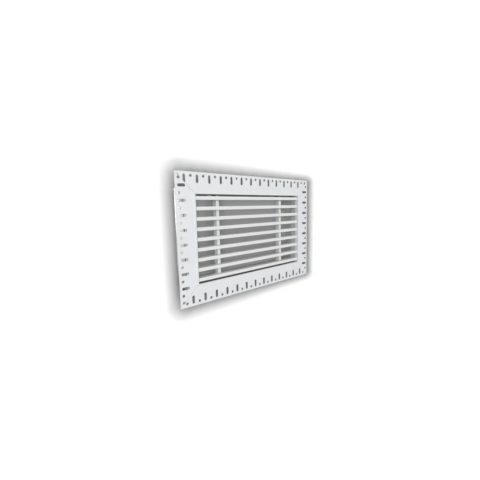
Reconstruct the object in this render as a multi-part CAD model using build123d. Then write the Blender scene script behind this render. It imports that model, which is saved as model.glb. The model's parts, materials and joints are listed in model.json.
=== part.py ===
from build123d import *
import os

# A plaster-in linear bar grille, built up from its real pieces.
#
# A mitred frame with a punched flange is plastered flush into the wall. Behind it a box-section
# collar, which the duct is fixed to, is screwed on over a foam gasket. The core of fixed bars sits
# in the frame on spring clips and pulls out to the front.
#
# Millimetres. +X is right, +Z is up, and the grille faces -Y. The origin is the centre of the opening,
# in the plane of the wall that the back of the flange lies on.

os.makedirs("parts", exist_ok=True)

# ---- driving dimensions ----

OPENING_W = 279.0           # clear opening in the frame
OPENING_H = 158.0
FLANGE_WIDTH = 37.0         # from the edge of the opening to the outer edge
FLANGE_THICK = 1.5
LIP_WIDTH = 2.5             # raised rim that the plaster finishes against
LIP_HEIGHT = 1.5
LIP_ROUND = 0.5

NECK_WIDTH = 13.2           # the neck stands this far outside the opening
NECK_WALL = 1.2
NECK_BACK = 16.8            # back of the neck, behind the wall plane
GASKET_THICK = 3.5
GASKET_SETBACK = 1.5        # the foam is this far inside both faces of the neck
COLLAR_BACK = 50.5

PUNCH_PITCH = 25.0          # one slot and one hole in each pitch of the flange
PUNCH_D = 5.0
SLOT_LENGTH = 14.6
HOLE_EDGE = 6.5             # hole centres from the outer edge
SLOT_EDGE = 11.4            # slot centres from the outer edge
# where the first hole of each side falls, measured along that side from its middle
HOLE_START = {"top": -172.0, "bottom": -161.1, "left": -94.3, "right": -100.6}

BAR_COUNT = 9
BAR_PITCH = 18.05
BAR_FACE = 6.4
BAR_DEPTH = 13.0
BAR_NOSE_ROUND = 0.5
BAR_TAIL_ROUND = 1.0
CORE_GAP = 1.5              # between the ends of the bars and the frame

END_PLATE_THICK = 1.5
END_PLATE_FRONT = 3.5
END_PLATE_BACK = 17.1
CORE_HALF_H = 77.0          # end plates and mullions stop here, above and below the middle

MULLION_X = 87.0
MULLION_WIDTH = 6.2
MULLION_FRONT = 7.5
MULLION_BACK = 18.5

CLEAT_ARM = 38.0
CLEAT_PLAY = 0.3            # between a cleat and the chamber it is driven into
CLEAT_FRONT_MARGIN = 2.5    # the rear cleats are shorter than their chamber, front and back

SCREW_R = 1.9               # collar screws
SCREW_HOLE_R = 2.1
SCREW_PILOT_R = 1.95
SCREW_HEAD_R = 3.8
SCREW_HEAD_THICK = 2.4
SCREW_HEAD_ROUND = 0.8
SCREW_RECESS_R = 1.14
SCREW_TIP_R = 0.3
SCREW_REACH = 4.0           # past the back wall of the neck
ACCESS_HOLE_R = 4.5
SCREWS_ALONG = {"top": (-95.0, 0.0, 95.0), "left": (-45.0, 45.0)}

LUG_WIDTH = 12.0            # stop lugs behind the ends of the mullions
LUG_THICK = 1.2
LUG_FRONT = 18.6
LUG_FOOT_BACK = 36.0
LUG_DROP = 5.5
LUG_RIVET_Y = 28.0

RIVET_R = 1.6               # blind rivets of the stop lugs
RIVET_HEAD_R = 3.2
RIVET_HEAD_THICK = 1.0
RIVET_HEAD_ROUND = 0.5
RIVET_TAIL = 2.0            # how far a rivet reaches into the collar's chamber
RIVET_CLEARANCE = 0.05

PIN_R = 1.3                 # countersunk pins from the end plates into the bars
PIN_HEAD_R = 2.4
PIN_HEAD_DEPTH = 1.1
PIN_REACH = 8.0

CLIP_Z = 45.0               # spring clips on the end plates
CLIP_Y = 10.3
CLIP_WIDTH = 8.0
CLIP_THICK = 0.4
CLIP_BOW = 0.8
CLIP_LENGTH = 30.0
CLIP_FOOT = 7.0
CLIP_TOE = 2.0
CLIP_RIVET_R = 0.8
CLIP_RIVET_HEAD_R = 1.7
CLIP_RIVET_HEAD_THICK = 0.3

# ---- worked out from them ----

HALF_W = OPENING_W / 2
HALF_H = OPENING_H / 2
LIP_FRONT = -FLANGE_THICK - LIP_HEIGHT
NECK_MID = NECK_WIDTH / 2
COLLAR_FRONT = NECK_BACK + GASKET_THICK
BAR_FRONT = -FLANGE_THICK
BAR_BACK = BAR_FRONT + BAR_DEPTH
BAR_HALF_LENGTH = HALF_W - CORE_GAP
BAR_MIDDLES = [BAR_PITCH * (i - (BAR_COUNT - 1) / 2) for i in range(BAR_COUNT)]
PIN_Y = (END_PLATE_FRONT + BAR_BACK) / 2
SPAN = {"top": HALF_W, "bottom": HALF_W, "left": HALF_H, "right": HALF_H}
RISE = {"top": HALF_H, "bottom": HALF_H, "left": HALF_W, "right": HALF_W}
TURN = {"top": 0, "right": 90, "bottom": 180, "left": -90}
CORNERS = {"top_right": (1, 1), "top_left": (-1, 1), "bottom_right": (1, -1), "bottom_left": (-1, -1)}
THROUGH = 10.0              # spare length for a cut that goes right through
ON_BASE = (Align.CENTER, Align.CENTER, Align.MIN)
OVERCUT = 1.0               # how far a drill starts and ends outside its wall


def save(node, shape):
    shape.label = node
    export_step(shape, f"parts/{node}.step")


def group(solids):
    return Compound(children=list(solids))


def block(x, y, z):
    """A box from three (low, high) pairs."""
    sizes = [high - low for low, high in (x, y, z)]
    middle = [(high + low) / 2 for low, high in (x, y, z)]
    return Pos(*middle) * Box(*sizes)


def rod(start, direction, length, radius):
    return Solid.make_cylinder(radius, length, Plane(start, z_dir=direction))


def cone(start, direction, radius, far_radius, length):
    return Plane(start, z_dir=direction) * Cone(radius, far_radius, length, align=ON_BASE)


def strip(y, out):
    """A rectangle in the section of a member, from its depth and how far out from the opening it is."""
    place = Pos((y[0] + y[1]) / 2, (out[0] + out[1]) / 2)
    return Plane.YZ * place * Rectangle(y[1] - y[0], out[1] - out[0])


def member(side, section, reach):
    """The top member of a frame with mitred ends, lying along X just above the origin."""
    half = SPAN[side]
    run = extrude(section, amount=half + reach + THROUGH, both=True)
    low, high = -LIP_WIDTH, reach + LIP_WIDTH
    corners = [(-half - low, low), (half + low, low), (half + high, high), (-half - high, high)]
    outline = Plane.XZ * make_face(Polyline(*corners, close=True))
    return run & extrude(outline, amount=COLLAR_BACK + THROUGH, both=True)


def to_side(side, shape):
    """Lifts a member to the edge of the opening and turns it to its own side."""
    return Rot(0, TURN[side], 0) * Pos(0, 0, RISE[side]) * shape


def drill(along, wall_front, wall_thick, radius):
    """A cut through one wall of the top member, along the line of its screws."""
    start = (along, wall_front - OVERCUT, NECK_MID)
    return rod(start, (0, 1, 0), wall_thick + 2 * OVERCUT, radius)


# ---- the frame that is plastered in ----

def frame_section():
    flange = strip((-FLANGE_THICK, 0), (0, FLANGE_WIDTH))
    lip = strip((LIP_FRONT, -FLANGE_THICK), (0, LIP_WIDTH))
    neck = strip((-FLANGE_THICK, NECK_BACK), (0, NECK_WIDTH))
    chamber = strip((0, NECK_BACK - NECK_WALL), (NECK_WALL, NECK_WIDTH - NECK_WALL))
    section = flange + lip + neck - chamber
    return fillet(section.vertices().group_by(Axis.Y)[0], LIP_ROUND)


def punches(side):
    """Holes and slots by turns, along the whole side and past its mitres."""
    along = HOLE_START[side] - PUNCH_PITCH
    last = SPAN[side] + FLANGE_WIDTH
    hole_out = FLANGE_WIDTH - HOLE_EDGE
    slot_out = FLANGE_WIDTH - SLOT_EDGE
    shapes = []
    while along < last:
        shapes.append(Pos(along, hole_out) * Circle(PUNCH_D / 2))
        middle_of_slot = along + PUNCH_PITCH / 2
        shapes.append(Pos(middle_of_slot, slot_out) * SlotOverall(SLOT_LENGTH, PUNCH_D, rotation=90))
        along += PUNCH_PITCH
    inside = [s for s in shapes if abs(s.center().X) < last]
    return extrude(Plane.XZ * Sketch(children=inside), amount=THROUGH / 2, both=True)


def screws_along(side):
    return SCREWS_ALONG["top" if side in ("top", "bottom") else "left"]


for side in TURN:
    piece = member(side, frame_section(), FLANGE_WIDTH) - punches(side)
    for along in screws_along(side):
        piece -= drill(along, NECK_BACK - NECK_WALL, NECK_WALL, SCREW_PILOT_R)
    save(f"frame_{side}", to_side(side, piece))

# ---- foam gasket between the frame and the collar ----

for side in TURN:
    foam = strip((NECK_BACK, COLLAR_FRONT), (GASKET_SETBACK, NECK_WIDTH - GASKET_SETBACK))
    piece = member(side, foam, NECK_WIDTH)
    for along in screws_along(side):
        piece -= drill(along, NECK_BACK, GASKET_THICK, SCREW_HOLE_R)
    save(f"gasket_{side}", to_side(side, piece))

# ---- the collar that the duct is fixed to ----

COLLAR_RIBS = ((39.2, 40.0), (45.6, 47.6))      # low ribs on the air side
COLLAR_GROOVE = (41.4, 42.8)
RIB_HEIGHT = 0.4
GROOVE_DEPTH = 0.6


def collar_section():
    section = strip((COLLAR_FRONT, COLLAR_BACK), (0, NECK_WIDTH))
    chamber_y = (COLLAR_FRONT + NECK_WALL, COLLAR_BACK - NECK_WALL)
    section -= strip(chamber_y, (NECK_WALL, NECK_WIDTH - NECK_WALL))
    section -= strip(COLLAR_GROOVE, (0, GROOVE_DEPTH))
    for rib in COLLAR_RIBS:
        section += strip(rib, (-RIB_HEIGHT, 0))
    return section


def lug_holes(side):
    if side in ("left", "right"):
        return []
    length = THROUGH / 2 + 2 * NECK_WALL
    radius = RIVET_R + RIVET_CLEARANCE
    return [rod((x, LUG_RIVET_Y, -THROUGH / 2), (0, 0, 1), length, radius) for x in (-MULLION_X, MULLION_X)]


for side in TURN:
    piece = member(side, collar_section(), NECK_WIDTH)
    for along in screws_along(side):
        piece -= drill(along, COLLAR_FRONT, NECK_WALL, SCREW_HOLE_R)
        piece -= drill(along, COLLAR_BACK - NECK_WALL, NECK_WALL, ACCESS_HOLE_R)
    for hole in lug_holes(side):
        piece -= hole
    save(f"collar_{side}", to_side(side, piece))

# ---- corner cleats inside both frames ----


def cleat(front, back, wide, high):
    """An L in the chamber of one corner, where wide and high say which corner."""
    x_edge = HALF_W + NECK_WALL + CLEAT_PLAY
    z_edge = HALF_H + NECK_WALL + CLEAT_PLAY
    across = NECK_WIDTH - 2 * (NECK_WALL + CLEAT_PLAY)
    x_end, z_end = x_edge + across, z_edge + across
    flat = block((x_end - CLEAT_ARM, x_end), (front, back), (z_edge, z_end))
    upright = block((x_edge, x_end), (front, back), (z_end - CLEAT_ARM, z_end))
    shape = flat + upright
    if wide < 0:
        shape = mirror(shape, Plane.YZ)
    if high < 0:
        shape = mirror(shape, Plane.XY)
    return shape


for corner, (wide, high) in CORNERS.items():
    front_cleat = cleat(CLEAT_PLAY, NECK_BACK - NECK_WALL - CLEAT_PLAY, wide, high)
    save(f"front_cleat_{corner}", front_cleat)
    chamber_front = COLLAR_FRONT + NECK_WALL + CLEAT_FRONT_MARGIN
    chamber_back = COLLAR_BACK - NECK_WALL - CLEAT_FRONT_MARGIN
    save(f"rear_cleat_{corner}", cleat(chamber_front, chamber_back, wide, high))

# ---- screws that hold the collar to the frame ----


def collar_screw(along):
    seat = COLLAR_FRONT + NECK_WALL
    length = seat - NECK_BACK + NECK_WALL + SCREW_REACH
    head = rod((along, seat, NECK_MID), (0, 1, 0), SCREW_HEAD_THICK, SCREW_HEAD_R)
    head = fillet(head.edges().group_by(Axis.Y)[-1], SCREW_HEAD_ROUND)
    shank = rod((along, seat, NECK_MID), (0, -1, 0), length, SCREW_R)
    point = cone((along, seat - length, NECK_MID), (0, -1, 0), SCREW_R, SCREW_TIP_R, SCREW_R)
    recess_start = (along, seat + SCREW_HEAD_THICK / 2, NECK_MID)
    recess = rod(recess_start, (0, 1, 0), SCREW_HEAD_THICK, SCREW_RECESS_R)
    return head + shank + point - recess


screws = [to_side(side, collar_screw(along)) for side in TURN for along in screws_along(side)]
save("collar_screws", group(screws))

# ---- lugs that stop the core, and their rivets ----


def stop_lug(x):
    """A strip of angle under the top wall: its foot on the collar, its tongue behind the mullion."""
    across = (x - LUG_WIDTH / 2, x + LUG_WIDTH / 2)
    foot = block(across, (LUG_FRONT, LUG_FOOT_BACK), (-LUG_THICK, 0))
    tongue = block(across, (LUG_FRONT, LUG_FRONT + LUG_THICK), (-LUG_DROP, 0))
    hole = rod((x, LUG_RIVET_Y, -THROUGH / 2), (0, 0, 1), THROUGH, RIVET_R + RIVET_CLEARANCE)
    return foot + tongue - hole


def lug_rivet(x):
    shank = rod((x, LUG_RIVET_Y, -LUG_THICK), (0, 0, 1), LUG_THICK + NECK_WALL + RIVET_TAIL, RIVET_R)
    head = rod((x, LUG_RIVET_Y, -LUG_THICK), (0, 0, -1), RIVET_HEAD_THICK, RIVET_HEAD_R)
    head = fillet(head.edges().group_by(Axis.Z)[0], RIVET_HEAD_ROUND)
    return head + shank


lug_places = [(side, x) for side in ("top", "bottom") for x in (-MULLION_X, MULLION_X)]
for side, x in lug_places:
    hand = "left" if x * (1 if side == "top" else -1) < 0 else "right"
    save(f"stop_lug_{side}_{hand}", to_side(side, stop_lug(x)))
save("lug_rivets", group(to_side(side, lug_rivet(x)) for side, x in lug_places))

# ---- the core: bars, mullions and end plates ----


def bar(middle):
    place = Pos((BAR_FRONT + BAR_BACK) / 2, middle)
    section = Plane.YZ * place * Rectangle(BAR_DEPTH, BAR_FACE)
    section = fillet(section.vertices().group_by(Axis.Y)[0], BAR_NOSE_ROUND)
    section = fillet(section.vertices().group_by(Axis.Y)[-1], BAR_TAIL_ROUND)
    piece = extrude(section, amount=BAR_HALF_LENGTH, both=True)
    for hand in (-1, 1):
        step = BAR_HALF_LENGTH - END_PLATE_THICK
        ends = sorted((hand * step, hand * (step + THROUGH)))
        tail = (END_PLATE_FRONT, BAR_BACK + OVERCUT)
        piece -= block(ends, tail, (middle - BAR_FACE, middle + BAR_FACE))
        pin_start = (hand * (step + OVERCUT), PIN_Y, middle)
        piece -= rod(pin_start, (-hand, 0, 0), PIN_REACH + OVERCUT, PIN_R)
    return piece


for number, middle in enumerate(reversed(BAR_MIDDLES), start=1):
    save(f"bar_{number}", bar(middle))

for name, x in (("left", -MULLION_X), ("right", MULLION_X)):
    x_range = (x - MULLION_WIDTH / 2, x + MULLION_WIDTH / 2)
    comb = block(x_range, (MULLION_FRONT, MULLION_BACK), (-CORE_HALF_H, CORE_HALF_H))
    for middle in BAR_MIDDLES:
        across = (x - MULLION_WIDTH, x + MULLION_WIDTH)
        notch_z = (middle - BAR_FACE / 2, middle + BAR_FACE / 2)
        comb -= block(across, (MULLION_FRONT - OVERCUT, BAR_BACK), notch_z)
    save(f"mullion_{name}", comb)


def pin(hand, middle):
    """A countersunk pin whose head is flush with the outside of the end plate."""
    outside = (hand * BAR_HALF_LENGTH, PIN_Y, middle)
    head = cone(outside, (-hand, 0, 0), PIN_HEAD_R, PIN_R, PIN_HEAD_DEPTH)
    return head + rod(outside, (-hand, 0, 0), END_PLATE_THICK + PIN_REACH, PIN_R)


def clip_rivet_place(hand, high):
    """The foot of a spring clip is at the end nearer the middle of the grille."""
    return (hand * BAR_HALF_LENGTH, CLIP_Y, high * (CLIP_Z - CLIP_LENGTH / 2 + CLIP_FOOT / 2))


def end_plate(hand):
    inside = hand * (BAR_HALF_LENGTH - END_PLATE_THICK)
    plate = block(sorted((inside, hand * BAR_HALF_LENGTH)), (END_PLATE_FRONT, END_PLATE_BACK),
                  (-CORE_HALF_H, CORE_HALF_H))
    for middle in BAR_MIDDLES:
        plate -= pin(hand, middle)
    for high in (-1, 1):
        x, y, z = clip_rivet_place(hand, high)
        start = (x + hand * OVERCUT, y, z)
        length = END_PLATE_THICK + 2 * OVERCUT
        plate -= rod(start, (-hand, 0, 0), length, CLIP_RIVET_R + RIVET_CLEARANCE)
    return plate


def spring_clip(hand, high):
    """A leaf that is flat on the plate at its foot and toe and bows out towards the frame between them."""
    low = CLIP_LENGTH / 2
    bow_start = -low + CLIP_FOOT
    bow_end = low - CLIP_TOE
    bow = ThreePointArc((0, bow_start), (CLIP_BOW, (bow_start + bow_end) / 2), (0, bow_end))
    line = Line((0, -low), (0, bow_start)) + bow + Line((0, bow_end), (0, low))
    inner = [(0, -low), (0, bow_start), (0, bow_end), (0, low)]
    outer = [(x + CLIP_THICK, z) for x, z in inner]
    outer_bow = ThreePointArc(outer[1], (CLIP_BOW + CLIP_THICK, (bow_start + bow_end) / 2), outer[2])
    edge = line + Line(inner[3], outer[3]) + Line(outer[3], outer[2]) + outer_bow
    edge = edge + Line(outer[1], outer[0]) + Line(outer[0], inner[0])
    leaf = extrude(Plane.XZ * make_face(edge.edges()), amount=CLIP_WIDTH / 2, both=True)
    rivet_start = (-OVERCUT, 0, -low + CLIP_FOOT / 2)
    leaf -= rod(rivet_start, (1, 0, 0), THROUGH, CLIP_RIVET_R + RIVET_CLEARANCE)
    if high < 0:
        leaf = mirror(leaf, Plane.XY)
    leaf = Pos(BAR_HALF_LENGTH, CLIP_Y, high * CLIP_Z) * leaf
    return leaf if hand > 0 else mirror(leaf, Plane.YZ)


def clip_rivet(hand, high):
    x, y, z = clip_rivet_place(hand, high)
    on_clip = (x + hand * CLIP_THICK, y, z)
    head = rod(on_clip, (hand, 0, 0), CLIP_RIVET_HEAD_THICK, CLIP_RIVET_HEAD_R)
    return head + rod(on_clip, (-hand, 0, 0), CLIP_THICK + END_PLATE_THICK, CLIP_RIVET_R)


for name, hand in (("left", -1), ("right", 1)):
    save(f"end_plate_{name}", end_plate(hand))
    save(f"bar_pins_{name}", group(pin(hand, middle) for middle in BAR_MIDDLES))

for corner, (wide, high) in CORNERS.items():
    save(f"spring_clip_{corner}", spring_clip(wide, high))
save("clip_rivets", group(clip_rivet(wide, high) for wide, high in CORNERS.values()))
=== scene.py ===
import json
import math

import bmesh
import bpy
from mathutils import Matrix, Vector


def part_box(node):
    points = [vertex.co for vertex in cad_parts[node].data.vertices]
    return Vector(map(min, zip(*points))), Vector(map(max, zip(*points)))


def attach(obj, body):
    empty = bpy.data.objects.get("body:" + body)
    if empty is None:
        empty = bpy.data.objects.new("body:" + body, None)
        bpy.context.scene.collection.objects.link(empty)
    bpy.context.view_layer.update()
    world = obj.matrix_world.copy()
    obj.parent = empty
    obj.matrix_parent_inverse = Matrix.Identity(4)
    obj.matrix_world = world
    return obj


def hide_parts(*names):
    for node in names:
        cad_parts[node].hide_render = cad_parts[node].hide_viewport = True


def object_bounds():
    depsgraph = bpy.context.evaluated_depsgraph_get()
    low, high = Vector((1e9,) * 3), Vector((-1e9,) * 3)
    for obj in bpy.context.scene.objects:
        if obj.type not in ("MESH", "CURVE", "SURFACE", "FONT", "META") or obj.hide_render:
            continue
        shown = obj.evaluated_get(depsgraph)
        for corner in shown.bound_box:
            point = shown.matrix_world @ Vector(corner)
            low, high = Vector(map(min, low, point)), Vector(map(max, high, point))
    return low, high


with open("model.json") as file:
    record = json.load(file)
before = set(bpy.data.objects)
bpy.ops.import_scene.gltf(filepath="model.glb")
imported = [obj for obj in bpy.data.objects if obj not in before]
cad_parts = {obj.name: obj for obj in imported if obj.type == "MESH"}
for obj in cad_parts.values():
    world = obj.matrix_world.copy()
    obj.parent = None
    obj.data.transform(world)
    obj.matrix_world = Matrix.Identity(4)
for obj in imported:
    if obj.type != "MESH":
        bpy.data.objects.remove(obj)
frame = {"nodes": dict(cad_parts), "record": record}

# %% [markdown]
# # A plaster-in bar grille
#
# This is an air grille for a wall or ceiling that ends up flush with the plaster. A flat flange, punched
# full of slots and holes, is bedded in filler, and only the thin rim and the level bars stay in sight.
# Behind the flange are a hollow neck, a strip of foam and a box-section collar for the duct. The bars are
# one unit, the core, that pulls out to the front.
#
# Nearly everything here is a straight length of some profile, cut, punched and coated. So the lesson is
# mostly about that: draw a section, extrude it, mitre it, punch it, and give every edge the small soft
# radius that powder coat leaves. That radius is what makes white metal read as metal.

MM = 0.001
cad_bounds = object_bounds()
low, high = cad_bounds
print("the packed model is", [round(v / MM, 1) for v in high - low], "mm")

# %% [markdown]
# ## Places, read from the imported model
#
# Every size that the solids already hold is measured from them, so the looks can't drift away from the
# parts. The opening is what is left between the four frame members.

# %% Measure the frame, collar and core
frame_top_low, frame_top_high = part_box("frame_top")
frame_right_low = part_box("frame_right")[0]
collar_low, collar_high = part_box("collar_right")
gasket_low, gasket_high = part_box("gasket_right")
HALF_W = frame_right_low.x
HALF_H = frame_top_low.z
FLANGE_WIDTH = frame_top_high.z - HALF_H
LIP_FRONT = frame_top_low.y
NECK_BACK = frame_top_high.y
NECK_WIDTH = collar_high.x - HALF_W
COLLAR_FRONT = collar_low.y
COLLAR_BACK = collar_high.y
FLANGE_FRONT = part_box("bar_1")[0].y         # the bars are flush with the flange
SIDES = {"top": 0, "right": 90, "bottom": 180, "left": -90}
print("opening", round(2 * HALF_W / MM, 1), "by", round(2 * HALF_H / MM, 1), "mm")
print("flange", round(FLANGE_WIDTH / MM, 1), "mm wide")

# %% [markdown]
# ## From a bmesh to an object
#
# A shape is drawn in a bmesh, which is a scratch pad with operators to extrude, bevel and cut it. It is
# then written into a mesh, and an object carries the mesh into the scene, as it does a camera or a lamp.
# An extrusion leaves its new end where it started, so a helper drags that end away, and another rounds
# edges or corners.

# %% Helpers for drawing
TINY = 0.001 * MM


def new_object(name, data):
    made = bpy.data.objects.new(name, data)
    bpy.context.scene.collection.objects.link(made)
    return made


def as_mesh(name, bm):
    mesh = bpy.data.meshes.new(name)
    bm.to_mesh(mesh)
    bm.free()
    return mesh


def mesh_object(name, bm):
    """An object of a bmesh, with all its faces pointing outwards."""
    bmesh.ops.recalc_face_normals(bm, faces=bm.faces)
    return new_object(name, as_mesh(name, bm))


def drag_end(bm, extruded, way):
    """Moves the end that an extrusion made."""
    end = [v for v in extruded["geom"] if isinstance(v, bmesh.types.BMVert)]
    bmesh.ops.translate(bm, verts=end, vec=way)


def runs_along(edge, axis):
    """Whether a straight edge runs along one axis and none of the others."""
    way = edge.verts[1].co - edge.verts[0].co
    return all(abs(getattr(way, other)) < TINY for other in "xyz" if other != axis)


def round_off(bm, geom, radius, segments, affect="EDGES"):
    bmesh.ops.bevel(bm, geom=geom, offset=radius, offset_type="OFFSET", affect=affect, segments=segments,
                    profile=0.5, material=-1)


# %% [markdown]
# ## The camera
#
# A wide lens close to the grille, a little above its middle and well to the left, so that the nearer end
# looms over the far one. The camera leans by about a degree, which is kept as a roll about its own axis.

# %% Make the camera
CAMERA_PLACE = Vector((-379.1, -403.1, 53.5)) * MM
LOOK = Vector((0.63849, 0.76039, -0.11894))
ROLL = math.radians(-1.276)
LENS = 20.03

camera_data = bpy.data.cameras.new("camera")
camera_data.lens = LENS
camera_data.sensor_width = 36.0
camera_data.clip_start = 0.01
camera = new_object("camera", camera_data)
turned_camera = LOOK.to_track_quat("-Z", "Y").to_matrix().to_4x4() @ Matrix.Rotation(ROLL, 4, "Z")
camera.matrix_world = Matrix.Translation(CAMERA_PLACE) @ turned_camera
bpy.context.scene.camera = camera
view_azimuth = math.atan2(-CAMERA_PLACE.x, -CAMERA_PLACE.y)
print("camera", round(CAMERA_PLACE.length, 3), "m away, azimuth", round(math.degrees(view_azimuth), 1))

# %% [markdown]
# ## Node trees
#
# A finish is a small tree of nodes: a noise read at the object's own coordinates, spread or blended, and
# led to the shader's colour, roughness and bump. The same few links come back in every finish, so each
# is a function.

# %% Helpers for node trees
def new_material(name):
    material = bpy.data.materials.new(name)
    material.use_nodes = True
    nodes = material.node_tree.nodes
    shader = nodes["Principled BSDF"]
    return material, nodes, material.node_tree.links, shader


def noise(nodes, links, coordinates, scale, detail=2.0, stretch=(1, 1, 1)):
    """A noise of so many grains to the metre, drawn out along an axis by a small stretch value."""
    mapping = nodes.new("ShaderNodeMapping")
    mapping.inputs["Scale"].default_value = stretch
    links.new(coordinates, mapping.inputs["Vector"])
    texture = nodes.new("ShaderNodeTexNoise")
    texture.inputs["Scale"].default_value = scale
    texture.inputs["Detail"].default_value = detail
    links.new(mapping.outputs["Vector"], texture.inputs["Vector"])
    return texture.outputs["Fac"]


def spread_out(nodes, links, value, across, low_value, high_value, curve="LINEAR"):
    """Spreads what lies between two values over a range of numbers."""
    spread = nodes.new("ShaderNodeMapRange")
    spread.interpolation_type = curve
    spread.inputs["From Min"].default_value, spread.inputs["From Max"].default_value = across
    spread.inputs["To Min"].default_value = low_value
    spread.inputs["To Max"].default_value = high_value
    links.new(value, spread.inputs["Value"])
    return spread.outputs["Result"]


def ramp(nodes, links, value, low_value, high_value):
    """Spreads the middle part of a noise, where nearly all of it lies."""
    return spread_out(nodes, links, value, (0.3, 0.7), low_value, high_value)


def blend_colours(nodes, links, value, first, second):
    mix = nodes.new("ShaderNodeMix")
    mix.data_type = "RGBA"
    mix.inputs["A"].default_value = (*first, 1)
    mix.inputs["B"].default_value = (*second, 1)
    links.new(value, mix.inputs["Factor"])
    return mix.outputs["Result"]


def add_bump(nodes, links, shader, height, depth, below=None):
    """Bumps of so many metres, over any bump that is already there."""
    bump = nodes.new("ShaderNodeBump")
    bump.inputs["Distance"].default_value = depth
    bump.inputs["Strength"].default_value = 1.0
    links.new(height, bump.inputs["Height"])
    if below is not None:
        links.new(below, bump.inputs["Normal"])
    links.new(bump.outputs["Normal"], shader.inputs["Normal"])
    return bump.outputs["Normal"]


def math_node(nodes, links, operation, *values):
    node = nodes.new("ShaderNodeMath")
    node.operation = operation
    for socket, value in zip(node.inputs, values):
        if isinstance(value, (int, float)):
            socket.default_value = value
        else:
            links.new(value, socket)
    return node.outputs["Value"]


def object_coordinates(nodes):
    return nodes.new("ShaderNodeTexCoord").outputs["Object"]


# %% [markdown]
# ## The studio
#
# One pale sheet makes the floor and, swept up behind, the backdrop, so there is no horizon line. It is
# turned square to the camera. The grille hangs on a wall in real life, so the floor lies well below it:
# close under it, the floor would catch a shadow that no hanging grille has.
#
# The sheet is one bent line pulled sideways: two straight runs with a quarter circle between them.

# %% Make the sheet
SHEET_AWAY = 0.62           # the upright part, beyond the grille
SHEET_BEND = 0.26
BEND_STEPS = 16
SHEET_HALF_WIDTH = 3.0
SHEET_NEAR = -2.5
SHEET_TOP = 2.6
FLOOR_BELOW = 0.9
FLOOR = low.z - FLOOR_BELOW

sheet = bmesh.new()
bend_centre = Vector((0, SHEET_AWAY - SHEET_BEND, FLOOR + SHEET_BEND))
line = [sheet.verts.new((0, SHEET_NEAR, FLOOR))]
for step in range(BEND_STEPS + 1):
    angle = math.radians(90) * step / BEND_STEPS
    arm = Vector((0, math.sin(angle), -math.cos(angle)))
    line.append(sheet.verts.new(bend_centre + SHEET_BEND * arm))
line.append(sheet.verts.new((0, SHEET_AWAY, SHEET_TOP)))
edges = [sheet.edges.new(pair) for pair in zip(line, line[1:])]
bmesh.ops.translate(sheet, verts=sheet.verts, vec=(-SHEET_HALF_WIDTH, 0, 0))
drag_end(sheet, bmesh.ops.extrude_edge_only(sheet, edges=edges), (2 * SHEET_HALF_WIDTH, 0, 0))
bmesh.ops.rotate(sheet, verts=sheet.verts, matrix=Matrix.Rotation(-view_azimuth, 3, "Z"))
for face in sheet.faces:
    face.smooth = True
backdrop = mesh_object("sheet", sheet)
print("the floor is", round(FLOOR_BELOW, 2), "m below the grille")

# %% [markdown]
# The sheet is plain matt paper, one colour all over, and the shade on it is a real shadow. The paper is
# paler to the eye than it is to the light that bounces off it, as if black flags stood round the set, so
# that the grille is lit by its lamps and hardly by the paper.

# %% Colour the sheet
PAPER_SEEN = (0.30, 0.30, 0.30)
PAPER_BOUNCE = (0.08, 0.08, 0.08)

paper, nodes, links, shader = new_material("pale_paper")
seen = nodes.new("ShaderNodeLightPath").outputs["Is Camera Ray"]
links.new(blend_colours(nodes, links, seen, PAPER_BOUNCE, PAPER_SEEN), shader.inputs["Base Color"])
shader.inputs["Roughness"].default_value = 0.9
shader.inputs["Specular IOR Level"].default_value = 0.1
backdrop.data.materials.append(paper)
print("paper", PAPER_SEEN, "to the eye and", PAPER_BOUNCE, "to its bounce")

# %% [markdown]
# ## Light
#
# A big soft lamp stands in front, a little to the left and a little above. From there the bars' faces are
# bright and their top sides about half as bright. Weak lamps lift the far side, the back and the left
# edge, and the pale world fills the rest. They light the grille only. The sheet has a lamp of its own.

# %% Make the lamps
def soft_lamp(name, azimuth, elevation, distance, size, watts):
    """A square lamp that faces the grille. Azimuth 0 is straight in front, and minus is to the left."""
    lamp_data = bpy.data.lights.new(name, "AREA")
    lamp_data.size = size
    lamp_data.energy = watts
    lamp = new_object(name, lamp_data)
    lamp.visible_camera = False
    a, e = math.radians(azimuth), math.radians(elevation)
    towards = Vector((math.sin(a) * math.cos(e), -math.cos(a) * math.cos(e), math.sin(e)))
    lamp.location = towards * distance
    lamp.rotation_mode = "QUATERNION"
    lamp.rotation_quaternion = towards.to_track_quat("Z", "Y")
    return lamp


soft_lamp("key", azimuth=-20, elevation=10, distance=3.5, size=1.2, watts=100)
soft_lamp("side", azimuth=55, elevation=20, distance=1.8, size=1.0, watts=2)
soft_lamp("rear_left", azimuth=-160, elevation=6, distance=1.2, size=0.3, watts=2.0)
soft_lamp("left_edge", azimuth=-94, elevation=0, distance=0.45, size=0.12, watts=0.10)
reflector = soft_lamp("reflector", azimuth=-127, elevation=-3, distance=0.28, size=0.16, watts=0.07)
reflector.visible_diffuse = False    # only the bare metal of the collar's left side mirrors it
soft_lamp("back", azimuth=200, elevation=50, distance=1.6, size=0.8, watts=9)
soft_lamp("rear_right", azimuth=130, elevation=12, distance=1.6, size=0.8, watts=6)
lamps = [thing for thing in bpy.context.scene.objects if thing.type == "LIGHT"]
print("lamps of the grille:", [lamp.name for lamp in lamps])

# %% [markdown]
# Light linking ties a lamp to what it may light, by way of a collection. The sheet is put in one for each
# lamp, marked to be left out. Its own lamp will have the same collection, marked the other way.

# %% Keep the lamps off the sheet
def light_only(lamp, name, state):
    """Lets a lamp light only the sheet (INCLUDE) or everything but the sheet (EXCLUDE)."""
    lit = bpy.data.collections.new(name)
    lit.objects.link(backdrop)
    lit.collection_objects[0].light_linking.link_state = state
    lamp.light_linking.receiver_collection = lit


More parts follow.
